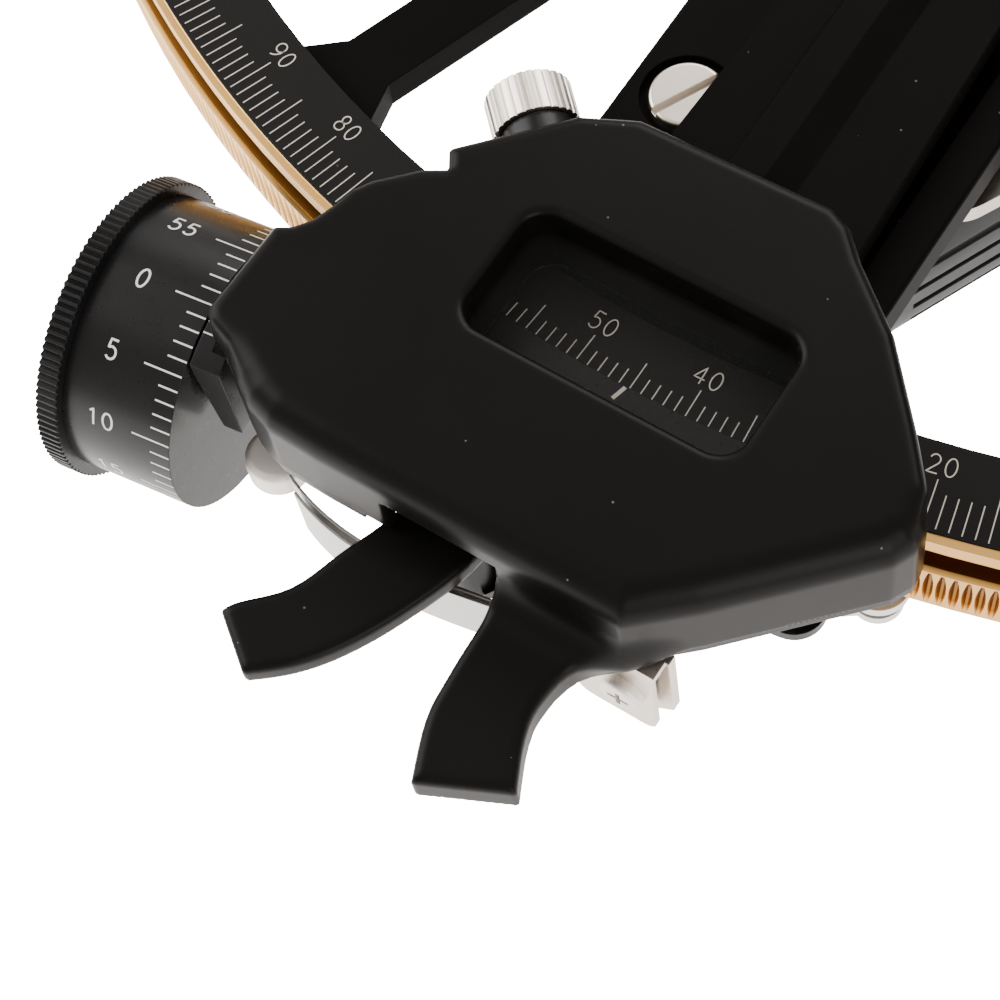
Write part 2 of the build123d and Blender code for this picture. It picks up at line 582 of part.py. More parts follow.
def arm_slot():
    """Opening in the rear wall of the cover for the arm and its rib."""
    half = arm_half(ARM_STEP_Y) + 0.1
    slot = Pos(0, ARM_STEP_Y + 4.8, 0) * Box(2 * half, 10, 2 * (ARM_TOP + 0.1))
    return slot + Pos(-1.1, ARM_STEP_Y + 4.8, 0) * Box(9.4, 10, 2 * (ARM_TOP + 1.75))


def arm_base_plate():
    """Plate on the end of the arm: it rides over the face and steps down outside the rack."""
    inner = -COVER_WALL - 0.1
    body = cover_region(inner, ARM_END_TOP, PLATE_TOP)
    body += cover_region(inner, PLATE_LOW, PLATE_TOP) & outside_rack(PLATE_LOW, PLATE_TOP)
    body += cover_region(-0.15, PLATE_LOW, 0) & outside_rack(PLATE_LOW, 0)
    for x, y in POSTS:
        body += disc(x, y, POST_R, LOWER_PLATE_TOP, PLATE_LOW)
    body -= Pos(0, ARM_STEP_Y + 9.9, 0) * Box(60, 20, 4)
    return body - window_block(0, -2, 2) - lever_gap(PLATE_NOTCH, -3, 3) - over_vernier(0.4)


def lower_plate():
    """Fixed plate under the carriage, with the headed stud that the carriage turns on."""
    low, high = LOWER_PLATE_TOP - LOWER_PLATE_THICK, LOWER_PLATE_TOP
    plate = rail([POSTS[0], POSTS[1], CARRIAGE_PIVOT], 3.8, low, high)
    plate += union([disc(x, y, 3.0, low, high) for x, y in POSTS + [CARRIAGE_PIVOT]])
    stud_neck = disc(*CARRIAGE_PIVOT, 2.0, high, CARRIAGE_TOP + 0.2)
    return plate + stud_neck + disc(*CARRIAGE_PIVOT, 3.6, CARRIAGE_TOP + 0.2, STUD_TOP)


def micrometer_cover():
    """Cast cover with its window, the fixed squeeze lever and the lamp tab."""
    shell = cover_region(0, 0, COVER_TOP)
    top_edges = shell.edges().group_by(Axis.Z)[-1]
    shell = softened(shell, top_edges, 2.2)
    shell -= cover_region(-COVER_WALL, -1, COVER_TOP - COVER_ROOF)
    shell += window_block(COVER_WALL, PLATE_TOP, COVER_TOP - 1)
    shell -= window_block(0, -2, COVER_TOP + 2)
    shell -= lever_gap(COVER_NOTCH, -1, COVER_NOTCH_TOP)
    shell -= disc(0, 0, CLEAR_OF_RACK_R, -1, ARM_END_TOP)
    shell -= over_vernier()
    shell -= arm_slot()
    lever = prism(FIXED_LEVER, FIXED_LEVER_BOTTOM, FIXED_LEVER_TOP)
    lever -= cover_region(0.05, -4, 0)
    lever -= cover_region(-COVER_WALL, -0.5, 3)
    return shell + lever - rod(LAMP_PLANE, 3.05, -8, 4)


LAMP_PLANE = Plane(origin=(-21.9, -140.5, 6.2), x_dir=(0, 0, 1), z_dir=(-0.719, 0.695, 0))


def window_pane():
    return window_block(-0.05, 6.5, 7.7)


def index_line_plate():
    """Small plate in the window that carries the index line, its edge concentric with the arc."""
    plate = window_block(-0.05, ARM_END_TOP, PLATE_TOP)
    return plate - disc(0, 0, 158.3, -1, 3)


def lamp_socket():
    return rod(LAMP_PLANE, 3.0, -5.5, 1.5) + rod(LAMP_PLANE, 4.4, 0.1, 2.4)


def lamp_cap():
    """Knurled cap of the scale lamp."""
    cap = rod(LAMP_PLANE, 5.0, 2.5, 7.6) + rod(LAMP_PLANE, 4.0, 7.6, 8.1)
    notch = Pos(5.1, 0, 5) * Rot(0, 0, 45) * Box(0.42, 0.42, 6)
    grips = [LAMP_PLANE * Rot(0, 0, 12 * k) * notch for k in range(30)]
    return cap - union(grips)


SPRING_X, SPRING_FACE_Y = (9.5, 19.4), -184.8
SCREW_X, SCREW_Z = 15.9, -8.0
LEAF_THICK = 0.35


def spring_bracket():
    """Folded nickel bracket under the base plate that clamps the leaf spring."""
    left, right = SPRING_X
    middle, width = (left + right) / 2, right - left
    front = Pos(middle, SPRING_FACE_Y + 0.4, -8.5) * Box(width, 0.8, 15.0)
    front = fillet(front.edges().filter_by(Axis.Y).group_by(Axis.Z)[0], 1.8)
    back = Pos(middle + 0.9, SPRING_FACE_Y + 2.8, -8.5) * Box(width, 1.2, 15.0)
    back = chamfer(back.edges().filter_by(Axis.Y).group_by(Axis.Z)[0], 2.4)
    top = Pos(middle + 0.4, SPRING_FACE_Y + 3.0, PLATE_LOW - 0.5) * Box(width, 6, 1.0)
    hole = Pos(SCREW_X, SPRING_FACE_Y + 2, SCREW_Z) * Rot(90, 0, 0) * Cylinder(1.55, 8)
    return front + back + top - hole


def bracket_screw():
    """Pan-head cross-recess screw that clamps the leaves."""
    plane = Plane(origin=(SCREW_X, SPRING_FACE_Y, SCREW_Z), x_dir=(1, 0, 0), z_dir=(0, -1, 0))
    head = rod(plane, 2.5, 0, 1.5)
    head = softened(head, head.edges().filter_by(GeomType.CIRCLE).group_by(Axis.Y)[0], 0.7)
    cross = plane * Pos(0, 0, 1.2) * (Box(2.6, 0.6, 1.2) + Box(0.6, 2.6, 1.2))
    return head + rod(plane, 1.5, -4.0, 0) - cross


def leaf(points, low, high):
    """One spring leaf: a thin strip bent along a curve in plan."""
    path = Spline(*[(x, y, (low + high) / 2) for x, y in points])
    section = Plane(origin=path @ 0, x_dir=(0, 0, 1), z_dir=path % 0)
    strip = sweep(section * Rectangle(high - low, LEAF_THICK), path=path)
    return strip - Pos(SCREW_X, SPRING_FACE_Y, SCREW_Z) * Rot(90, 0, 0) * Cylinder(1.75, 8)


def leaf_springs():
    low, high = -14.0, -5.0
    inner = [(18.5, -183.2), (14, -183.2), (9.0, -183.25), (0.4, -184.5), (-9, -185.9), (-17, -186.2),
             (-28.0, -183.7)]
    outer = [(18.5, -183.65), (14, -183.65), (9.0, -183.7), (0.4, -185.1), (-8, -186.6), (-17.4, -187.1),
             (-26.3, -185.1)]
    return [leaf(inner, low, high), leaf(outer, low, high)]


INDEX_NORMAL_ANGLE = degrees(atan2(HORIZON_NORMAL.Y, HORIZON_NORMAL.X)) + 180 - READING_AT_REST / 2
INDEX_MIRROR_PLANE = Plane(origin=(0, 0, AXIS_Z), x_dir=direction(INDEX_NORMAL_ANGLE + 90),
                           z_dir=direction(INDEX_NORMAL_ANGLE))


def index_mirror():
    width, height, thick = INDEX_MIRROR
    return INDEX_MIRROR_PLANE * Pos(0, 0, -thick / 2) * Box(width, height, thick)


def index_mirror_bracket():
    """Upright plate with side clips, on a round base on the hub of the arm."""
    width, height, thick = INDEX_MIRROR
    back = Pos(0, 0, -thick - 2) * Box(width + 3, height + 3, 4)
    sides = []
    for side in (-1, 1):
        sides.append(Pos(side * (width / 2 + 0.8), 0, -thick / 2) * Box(1.4, 16, thick + 0.2))
        sides.append(Pos(side * (width / 2 - 0.6), 0, 0.5) * Box(4.2, 16, 0.9))
    low = ARM_TOP + 4 - AXIS_Z
    web_height = -low - height / 2
    web = Pos(0, low + web_height / 2, -thick - 2) * Box(30, web_height + 2, 4)
    gussets = [Pos(x, low + 7, -thick - 9) * Box(3, 14, 12) for x in (-10, 10)]
    body = INDEX_MIRROR_PLANE * (back + union(sides) + web + union(gussets))
    base = disc(0, 0, 17.5, ARM_TOP, ARM_TOP + 4)
    return body + base


# ---------------------------------------------------------------- carriage and drum
def along_worm(distance, outward=0.0, z=0.0):
    """Plan point at a distance along the worm axis, and outward from it."""
    point = WORM_FOOT + direction(WORM_TURN) * distance + direction(WORM_TURN - 90) * outward
    return (point.X, point.Y)


def carriage_plate():
    """Swinging plate with the bearings of the worm shaft and a slot around one post."""
    low, high = CARRIAGE_TOP - CARRIAGE_THICK, CARRIAGE_TOP
    body = rail([(28.8, -157.4), along_worm(0, -2), along_worm(-30, 3.5), along_worm(-50, 1)], 6.4, low, high)
    body += disc(*CARRIAGE_PIVOT, 3.1, low, high)
    body += bar(LEVER_POST, along_worm(-26, 4), 7.0, low, high)
    body += disc(5.6, -173.7, 5.0, low, high) + disc(24.6, -165.0, 3.7, high, STUD_TOP)
    body += bar(along_worm(-50, -5), along_worm(VERNIER_GAP - DRUM_EDGE, -5), 6.0, low, high)
    for start, end, half in ((-9.4, -6.2, 4.3), (2.0, 4.4, 2.6), (-52.0, -48.0, 4.3)):
        body += bearing(start, end, half)
    body += rail([along_worm(-50, 2), CARRIAGE_END], 3.5, SCREW_SEAT - 1.6, SCREW_SEAT)
    body -= rod(WORM_PLANE, SHAFT_R + RUNNING_GAP, -60, 20) + disc(*CARRIAGE_END, 1.35, -20, 0)
    body -= rod(WORM_PLANE, WORM_OUTER_R + 0.3, WORM_FROM - 1, 2.0)
    body -= rail([POSTS[1], (4.78, -172.54)], 2 * POST_R + 0.5, -20, CARRIAGE_TOP + 0.1)
    return body - disc(*CARRIAGE_PIVOT, 2.0 + RUNNING_GAP, -20, -10) - disc(*LEVER_POST, 2.95, -20, -10)


def bearing(start, end, half):
    height = WORM_Z + 4.0 - CARRIAGE_TOP
    middle = CARRIAGE_TOP + height / 2 - WORM_Z
    return WORM_PLANE * Pos(middle, 0, (start + end) / 2) * Box(height, 2 * half, end - start)


def end_screw():
    """Round-headed nickel screw on the end of the carriage, under the corner of the cover."""
    x, y = CARRIAGE_END
    head = disc(x, y, 3.65, SCREW_SEAT, -7.6)
    head = softened(head, head.edges().group_by(Axis.Z)[-1], 1.0)
    return head + disc(x, y, 1.3, SCREW_SEAT - 1.6, SCREW_SEAT)


def release_lever():
    body = prism(RELEASE_LEVER, LEVER_BOTTOM, LEVER_TOP)
    top = body.edges().group_by(Axis.Z)[-1]
    body = softened(body, top, 0.6)
    return body + disc(*LEVER_POST, 2.9, CARRIAGE_TOP - CARRIAGE_THICK, LEVER_BOTTOM)


def vernier_block():
    """Curved block beside the drum, flush with it, on a foot on the carriage."""
    start = VERNIER_GAP - DRUM_EDGE
    round_part = rod(WORM_PLANE, DRUM_R, start, start + VERNIER_REACH)
    main = along_shaft((1.4, 17), (-10, 5.5), (start, start + VERNIER_THICK))
    front = along_shaft((1.4, 17), (5.5, 7.5), (start, start + VERNIER_REACH))
    foot = along_shaft((CARRIAGE_TOP - WORM_Z, 1.4), (-8, -2), (start, start + VERNIER_THICK))
    wedge = make_face(Polyline([(12.5, 0), (1.3, 0), (1.3, 1.3)], close=True))
    taper = WORM_PLANE * Pos(0, 7.6, start) * Rot(90, 0, 0) * extrude(wedge, 2.6)
    return (round_part & (main + front)) + foot - rod(WORM_PLANE, SHAFT_R + 0.6, -70, -50) - taper


def along_shaft(height, outward, distance):
    """A box given by its spans above, outward from and along the worm axis."""
    spans = (height, outward, distance)
    middle = [(a + b) / 2 for a, b in spans]
    return WORM_PLANE * Pos(*middle) * Box(*[b - a for a, b in spans])


def micrometer_drum():
    edge = -DRUM_EDGE
    body = rod(WORM_PLANE, DRUM_R, edge - DRUM_LENGTH, edge)
    return body - rod(WORM_PLANE, SHAFT_R, edge - 20, edge + 1)


def drum_knob():
    """Knurled ring on the outer end of the drum."""
    start = -DRUM_EDGE - DRUM_LENGTH - KNOB_LENGTH
    body = rod(WORM_PLANE, KNOB_R, start, start + KNOB_LENGTH)
    grips = []
    for k in range(KNURLS):
        notch = Pos(KNOB_R, 0, start + KNOB_LENGTH / 2) * Rot(0, 0, 45) * Box(0.5, 0.5, KNOB_LENGTH + 1)
        grips.append(WORM_PLANE * Rot(0, 0, 360 / KNURLS * k) * notch)
    return body - grips - rod(WORM_PLANE, 8, start, start + 1.2) - rod(WORM_PLANE, SHAFT_R, start, 0)


def worm_shaft():
    """Steel shaft with the single-start right-hand thread that meshes with the rack."""
    shaft = rod(WORM_PLANE, SHAFT_R, -DRUM_EDGE - DRUM_LENGTH - KNOB_LENGTH, 5.0)
    core = rod(WORM_PLANE, WORM_ROOT_R, WORM_FROM, WORM_TO)
    return shaft + core + thread()


def thread():
    """Helical ridge placed so that its crest stands in a notch of the rack at rest."""
    nearest = round(READING_AT_REST - (WORM_FOOT_ANGLE + 90) * 2 - NOTCH_PHASE) + NOTCH_PHASE
    crest = RACK_PITCH_R * radians(theta(nearest) - WORM_FOOT_ANGLE)
    start = crest - TOOTH_PITCH * 3.25
    path = Helix(TOOTH_PITCH, TOOTH_PITCH * WORM_TURNS, WORM_ROOT_R - 0.3)
    depth = WORM_OUTER_R - WORM_ROOT_R + 0.3
    radius = WORM_ROOT_R - 0.3
    section = Plane(origin=path @ 0, x_dir=(1, 0, 0), z_dir=path % 0) * make_face(Polyline(
        (0, -THREAD_BASE / 2 - 0.1), (depth, -THREAD_CREST / 2), (depth, THREAD_CREST / 2),
        (0, THREAD_BASE / 2 + 0.1), close=True))
    ridge = sweep(section, path=path, is_frenet=True)
    return WORM_PLANE * Pos(0, 0, start) * Rot(0, 0, 180) * ridge


# ---------------------------------------------------------------- export
def nodes():
    pieces = {
        "frame_casting": frame_casting(), "graduated_arc": graduated_arc(), "arc_screws": arc_screws(),
        "pivot_bush": pivot_bush(), "legs": legs(), "leg_pads": leg_pads(),
        "strut_screws": strut_screws(), "handle_grip": handle_grip(), "battery_cells": battery_cells(),
        "battery_cap": battery_cap(), "switch_button": switch_button(),
        "handle_bracket_lower": handle_bracket_lower(), "handle_bracket_upper": handle_bracket_upper(),
        "horizon_mirror": horizon_mirror(), "horizon_mirror_frame": horizon_mirror_frame(),
        "horizon_adjust_screws": horizon_adjust_screws(), "horizon_shade_bracket": horizon_shade_bracket(),
        "index_shade_bracket": index_shade_bracket(), "telescope_bracket": telescope_bracket(),
        "telescope_clamp_screw": telescope_clamp_screw(), "telescope_tube": telescope_tube(),
        "objective_lens": objective_lens(), "focus_sleeve": focus_sleeve(), "ocular_lens": ocular_lens(),
        "eyecup": eyecup(), "index_arm": index_arm(), "pivot_shaft": pivot_shaft(),
        "arm_base_plate": arm_base_plate(), "lower_plate": lower_plate(),
        "micrometer_cover": micrometer_cover(), "window_pane": window_pane(),
        "index_line_plate": index_line_plate(), "lamp_socket": lamp_socket(), "lamp_cap": lamp_cap(),
        "spring_bracket": spring_bracket(), "bracket_screw": bracket_screw(), "leaf_springs": leaf_springs(),
        "index_mirror": index_mirror(), "index_mirror_bracket": index_mirror_bracket(),
        "carriage_plate": carriage_plate(), "end_screw": end_screw(),
        "release_lever": release_lever(), "vernier_block": vernier_block(),
        "micrometer_drum": micrometer_drum(), "drum_knob": drum_knob(), "worm_shaft": worm_shaft(),
    }
    for name, plane, count in (("index", INDEX_SHADE_PLANE, 4), ("horizon", HORIZON_SHADE_PLANE, 3)):
        for number in range(count):
            frame, glass = shade(plane, number)
            pieces[f"{name}_shade_frame_{number + 1}"] = frame
            pieces[f"{name}_shade_glass_{number + 1}"] = glass
    return pieces


def export_all():
    os.makedirs("parts", exist_ok=True)
    raised = Location((0, 0, FACE_HEIGHT))
    for name, piece in nodes().items():
        solids = piece if isinstance(piece, list) else piece.solids()
        moved = [solid.moved(raised) for solid in solids]
        body = Compound(children=moved) if len(moved) > 1 else moved[0]
        body.label = name
        export_step(body, f"parts/{name}.step")


export_all()
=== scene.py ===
import json
import math

import bpy
import numpy as np
from mathutils import Matrix, Vector


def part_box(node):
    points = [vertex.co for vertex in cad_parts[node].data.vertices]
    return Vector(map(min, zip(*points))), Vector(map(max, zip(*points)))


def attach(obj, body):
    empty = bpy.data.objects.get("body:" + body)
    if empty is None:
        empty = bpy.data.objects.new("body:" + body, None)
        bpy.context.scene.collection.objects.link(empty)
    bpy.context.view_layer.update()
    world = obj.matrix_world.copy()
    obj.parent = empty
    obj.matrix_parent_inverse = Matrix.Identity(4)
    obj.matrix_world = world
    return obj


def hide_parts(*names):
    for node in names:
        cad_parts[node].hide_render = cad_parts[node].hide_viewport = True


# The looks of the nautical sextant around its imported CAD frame.  Lengths are in millimetres in the
# instrument's own axes: the pivot is the origin in plan and height 0 is the face of the graduated arc.
# Camera, floor and lights are in metres in the shared frame.
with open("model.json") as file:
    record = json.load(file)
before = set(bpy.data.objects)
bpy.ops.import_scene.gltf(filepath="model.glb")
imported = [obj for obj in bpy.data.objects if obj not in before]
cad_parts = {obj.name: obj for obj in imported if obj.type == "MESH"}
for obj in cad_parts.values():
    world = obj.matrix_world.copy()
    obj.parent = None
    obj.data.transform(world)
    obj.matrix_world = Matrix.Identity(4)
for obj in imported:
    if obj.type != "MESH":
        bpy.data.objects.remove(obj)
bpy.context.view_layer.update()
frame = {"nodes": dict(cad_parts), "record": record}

MM = 0.001
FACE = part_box("graduated_arc")[1].z / MM
READING_AT_REST = 45.0

SCALE_OUTER_R = 160.0
TICK_INNER_R, LONG_TICK_INNER_R = 155.97, 154.44
NUMERAL_R, NUMERAL_SPREAD_R = 152.75, 155.0
NUMERAL_HEIGHT = 2.2
FACE_PAINT_OUTER_R, FACE_PAINT_INNER_R = 160.55, 151.0
RIM_DEPTH = 2.3
GROOVE_R, RIM_R = 161.9, 162.3


def to_metres(points):
    """Instrument millimetres to metres in the shared frame."""
    points = np.asarray(points, float)
    return (points + np.array([0.0, 0.0, FACE])) * MM


# ---------------------------------------------------------------- camera, floor and light
def set_camera():
    """The photograph's viewpoint: above and in front of the lower end of the index arm."""
    place = (0.082370, -0.261747, 0.298860)
    right = Vector((0.82845, 0.55054, -0.10282))
    up = Vector((-0.45954, 0.77315, 0.43710))
    back = Vector((0.32014, -0.31487, 0.89352))
    data = bpy.data.cameras.new("camera")
    data.sensor_width = 36.0
    data.lens = 92.73
    data.clip_start = 0.01
    camera = bpy.data.objects.new("camera", data)
    turn = Matrix((right, up, back)).transposed().to_4x4()
    camera.matrix_world = Matrix.Translation(place) @ turn
    bpy.context.scene.collection.objects.link(camera)
    bpy.context.scene.camera = camera


def new_object(name, mesh):
    piece = bpy.data.objects.new(name, mesh)
    bpy.context.scene.collection.objects.link(piece)
    return piece


def mesh_from(name, points, faces, smooth=True):
    """A mesh object from metre points and index faces."""
    mesh = bpy.data.meshes.new(name)
    mesh.from_pydata([tuple(p) for p in points], [], [tuple(f) for f in faces])
    mesh.validate()
    mesh.update()
    mesh.polygons.foreach_set("use_smooth", [smooth] * len(mesh.polygons))
    return new_object(name, mesh)


def make_floor():
    size, drop = 3.0, 0.0004
    corners = [(-size, -size, -drop), (size, -size, -drop), (size, size, -drop), (-size, size, -drop)]
    floor = mesh_from("floor", corners, [(0, 1, 2, 3)], smooth=False)
    floor.data.materials.append(floor_material())


def add_light(name, place, target, size, power, colour=(1.0, 1.0, 1.0)):
    data = bpy.data.lights.new(name, "AREA")
    data.shape = "RECTANGLE"
    data.size, data.size_y = size
    data.energy = power
    data.color = colour
    light = bpy.data.objects.new(name, data)
    light.location = place
    aim = Vector(target) - Vector(place)
    light.rotation_euler = aim.to_track_quat("-Z", "Y").to_euler()
    bpy.context.scene.collection.objects.link(light)


def light_studio():
    """Bright surround low down, darker overhead, and soft boxes from the left, right and behind."""
    world = bpy.data.worlds.new("studio")
    bpy.context.scene.world = world
    world.use_nodes = True
    tree = world.node_tree
    tree.nodes.clear()
    coords = tree.nodes.new("ShaderNodeTexCoord")
    split = tree.nodes.new("ShaderNodeSeparateXYZ")
    ramp = tree.nodes.new("ShaderNodeValToRGB")
    ramp.color_ramp.elements[0].position = 0.05
    ramp.color_ramp.elements[0].color = (1.0, 0.945, 0.90, 1)
    ramp.color_ramp.elements[1].position = 0.62
    ramp.color_ramp.elements[1].color = (0.72, 0.675, 0.63, 1)
    back = tree.nodes.new("ShaderNodeBackground")
    back.inputs["Strength"].default_value = 1.1
    out = tree.nodes.new("ShaderNodeOutputWorld")
    tree.links.new(coords.outputs["Generated"], split.inputs["Vector"])
    tree.links.new(split.outputs["Z"], ramp.inputs["Fac"])
    tree.links.new(ramp.outputs["Color"], back.inputs["Color"])
    tree.links.new(back.outputs["Background"], out.inputs["Surface"])
    target = (0.0, -0.16, 0.05)
    add_light("left_box", (-0.75, -0.25, 0.55), target, (0.7, 0.7), 9)
    add_light("right_box", (0.8, -0.55, 0.5), target, (0.6, 0.6), 5)
    add_light("back_box", (-0.15, 0.75, 0.75), target, (0.9, 0.5), 9)


# ---------------------------------------------------------------- materials
class Shader:
    """Small helper that builds one procedural material around a principled shader."""

    def __init__(self, name, **sockets):
        self.material = bpy.data.materials.new(name)
        self.material.use_nodes = True
        self.tree = self.material.node_tree
        self.bsdf = self.tree.nodes["Principled BSDF"]
        for socket, value in sockets.items():
            self.bsdf.inputs[socket.replace("_", " ")].default_value = value
        self.coords = self.add("ShaderNodeTexCoord").outputs["Object"]

    def add(self, kind, **values):
        node = self.tree.nodes.new(kind)
        for name, value in values.items():
            if hasattr(node, name):
                setattr(node, name, value)
            else:
                node.inputs[name.replace("_", " ")].default_value = value
        return node

    def link(self, source, target):
        self.tree.links.new(source, target)
        return self

    def noise(self, scale, detail=2.0, roughness=0.5, vector=None):
        node = self.add("ShaderNodeTexNoise", Scale=scale, Detail=detail, Roughness=roughness)
        self.link(vector or self.coords, node.inputs["Vector"])
        return node.outputs["Fac"]

    def math(self, operation, first, second=0.5, third=0.5):
        node = self.add("ShaderNodeMath", operation=operation)
        for socket, value in zip(node.inputs, (first, second, third)):
            if isinstance(value, (int, float)):
                socket.default_value = value
            else:
                self.link(value, socket)
        return node.outputs[0]

    def spread(self, value, low, high, start=0.0, end=1.0):
        node = self.add("ShaderNodeMapRange", From_Min=start, From_Max=end, To_Min=low, To_Max=high)
        self.link(value, node.inputs["Value"])
        return node.outputs["Result"]

    def mix(self, factor, first, second):
        node = self.add("ShaderNodeMix", data_type="RGBA")
        sockets = [s for s in node.inputs if s.enabled]
        if isinstance(factor, (int, float)):
            sockets[0].default_value = factor
        else:
            self.link(factor, sockets[0])
        for socket, value in zip(sockets[1:], (first, second)):
            if isinstance(value, tuple):
                socket.default_value = (*value, 1.0)
            else:
                self.link(value, socket)
        return [s for s in node.outputs if s.enabled][0]

    def colour(self, value):
        return self.link(value, self.bsdf.inputs["Base Color"])

    def roughness(self, value):
        return self.link(value, self.bsdf.inputs["Roughness"])

    def bump(self, height, strength, distance, edge=0.0002):
        """Surface relief over edges that are rounded by a small radius."""
        bump = self.add("ShaderNodeBump", Strength=strength, Distance=distance)
        self.link(height, bump.inputs["Height"])
        if edge:
            bevel = self.add("ShaderNodeBevel", samples=4, Radius=edge)
            self.link(bevel.outputs["Normal"], bump.inputs["Normal"])
        return self.link(bump.outputs["Normal"], self.bsdf.inputs["Normal"])

    def radius(self):
        """Distance from the pivot axis, in metres."""
        flat = self.add("ShaderNodeVectorMath", operation="MULTIPLY")
        self.link(self.coords, flat.inputs[0])
        flat.inputs[1].default_value = (1, 1, 0)
        length = self.add("ShaderNodeVectorMath", operation="LENGTH")
        self.link(flat.outputs["Vector"], length.inputs[0])
        return length.outputs["Value"]

    def height(self):
        split = self.add("ShaderNodeSeparateXYZ")
        self.link(self.coords, split.inputs["Vector"])
        return split.outputs["Z"]

    def specks(self, scale, size):
        """Sparse dust specks: 1 on a speck, 0 elsewhere."""
        cells = self.add("ShaderNodeTexVoronoi", Scale=scale, feature="F1")
        self.link(self.coords, cells.inputs["Vector"])
        return self.math("LESS_THAN", cells.outputs["Distance"], size)


FLOOR_GLOW_LEFT, FLOOR_GLOW_RIGHT, FLOOR_GLOW_SEEN = 2.4, 1.5, 20.0


def floor_material():
    """Glowing floor: white where the camera sees it, and dimmer in the light that it casts."""
    shade = Shader("pale_floor", Roughness=0.9)
    tone = shade.noise(3.0, 3.0)
    shade.colour(shade.mix(tone, (0.93, 0.925, 0.92), (0.96, 0.955, 0.95)))
    shade.bsdf.inputs["Emission Color"].default_value = (1.0, 0.965, 0.935, 1.0)
    place = shade.add("ShaderNodeSeparateXYZ")
    shade.link(shade.coords, place.inputs["Vector"])
    cast = shade.spread(place.outputs["X"], FLOOR_GLOW_LEFT, FLOOR_GLOW_RIGHT, -0.07, 0.0)
    seen = shade.add("ShaderNodeLightPath").outputs["Is Camera Ray"]
    strength = shade.math("MULTIPLY_ADD", seen, FLOOR_GLOW_SEEN, cast)
    shade.link(strength, shade.bsdf.inputs["Emission Strength"])
    return shade.material


DUST = (260.0, 0.035)


def paint_material(name, colour, rough, specular=0.09, grain=0.00001, edge=0.00025):
    """Smooth stoved paint: faint orange peel, uneven gloss and a few specks of dust."""
    shade = Shader(name, Specular_IOR_Level=specular)
    cloud = shade.noise(45.0, 4.0, 0.6)
    light = tuple(c * 1.25 + 0.0015 for c in colour)
    tone = shade.mix(cloud, colour, light)
    shade.colour(shade.mix(shade.specks(*DUST), tone, (0.10, 0.092, 0.085)))
    shade.roughness(shade.spread(shade.noise(30.0, 5.0, 0.65), rough - 0.04, rough + 0.06))
    shade.bump(shade.noise(1500.0, 3.0, 0.6), 0.25, grain, edge)
    return shade.material


def anodised_material(name, colour, rough):
    """Dyed aluminium with a fine grain in its gloss."""
    shade = Shader(name, Specular_IOR_Level=0.2)
    cloud = shade.noise(80.0, 4.0, 0.6)
    shade.colour(shade.mix(cloud, colour, tuple(c * 1.5 + 0.002 for c in colour)))
    shade.roughness(shade.spread(shade.noise(600.0, 3.0, 0.6), rough - 0.05, rough + 0.07))
    shade.bump(shade.noise(5200.0, 2.0, 0.5), 0.2, 0.00001, 0.0002)
    return shade.material


def metal_material(name, colour, rough, stretch=(1, 1, 1), scale=900.0, edge=0.00015, relief=0.15):
    """Bare or plated metal with fine tool marks stretched along one axis, and slight tarnish."""
    shade = Shader(name, Metallic=1.0)
    mapping = shade.add("ShaderNodeMapping", Scale=stretch)
    shade.link(shade.coords, mapping.inputs["Vector"])
    marks = shade.noise(scale, 4.0, 0.7, mapping.outputs["Vector"])
    cloud = shade.noise(60.0, 4.0, 0.6)
    dull = tuple(c * 0.80 for c in colour)
    shade.colour(shade.mix(cloud, dull, colour))
    shade.roughness(shade.spread(marks, rough - 0.07, rough + 0.08))
    shade.bump(marks, relief, 0.00001, edge)
    return shade.material


def arc_material():
    """Bronze with turned lines around the pivot, painted shade darkening the groove and rack below the
    rim, and a face in satin black paint.
    """
    shade = Shader("arc_bronze", Specular_IOR_Level=0.14)
    radius, height = shade.radius(), shade.height()
    lines = shade.add("ShaderNodeCombineXYZ")
    shade.link(radius, lines.inputs["X"]).link(height, lines.inputs["Z"])
    marks = shade.noise(5200.0, 3.0, 0.7, lines.outputs["Vector"])
    cloud = shade.noise(90.0, 4.0, 0.6)
    bright = shade.mix(cloud, (0.66, 0.355, 0.095), (0.83, 0.49, 0.155))
    # Painted shade: below the rim the bronze is darkened in the groove and over the rack, fading out
    # towards the rack's outer edge.
    under_rim = shade.math("LESS_THAN", height, (FACE - RIM_DEPTH) * MM)
    groove_shade = shade.spread(radius, 1.0, 0.0, GROOVE_R * MM, RIM_R * MM)
    bronze = shade.mix(shade.math("MULTIPLY", under_rim, groove_shade), bright, (0.27, 0.115, 0.022))
    on_face = shade.math("MULTIPLY", shade.math("GREATER_THAN", height, (FACE - 0.1) * MM),
                         shade.math("LESS_THAN", radius, FACE_PAINT_OUTER_R * MM))
    inside = shade.math("LESS_THAN", radius, FACE_PAINT_INNER_R * MM)
    painted = shade.math("MAXIMUM", on_face, inside)
    black = shade.mix(shade.specks(*DUST), (0.0042, 0.0036, 0.0032), (0.05, 0.046, 0.042))
    shade.colour(shade.mix(painted, bronze, black))
    shade.link(shade.math("SUBTRACT", 1.0, painted), shade.bsdf.inputs["Metallic"])
    rough_bare = shade.spread(marks, 0.24, 0.42)
    rough = shade.add("ShaderNodeMix", data_type="FLOAT")
    shade.link(painted, rough.inputs[0]).link(rough_bare, rough.inputs[2])
    rough.inputs[3].default_value = 0.42
    shade.roughness(rough.outputs[0])
    shade.bump(marks, 0.16, 0.00002, 0.00008)
    return shade.material


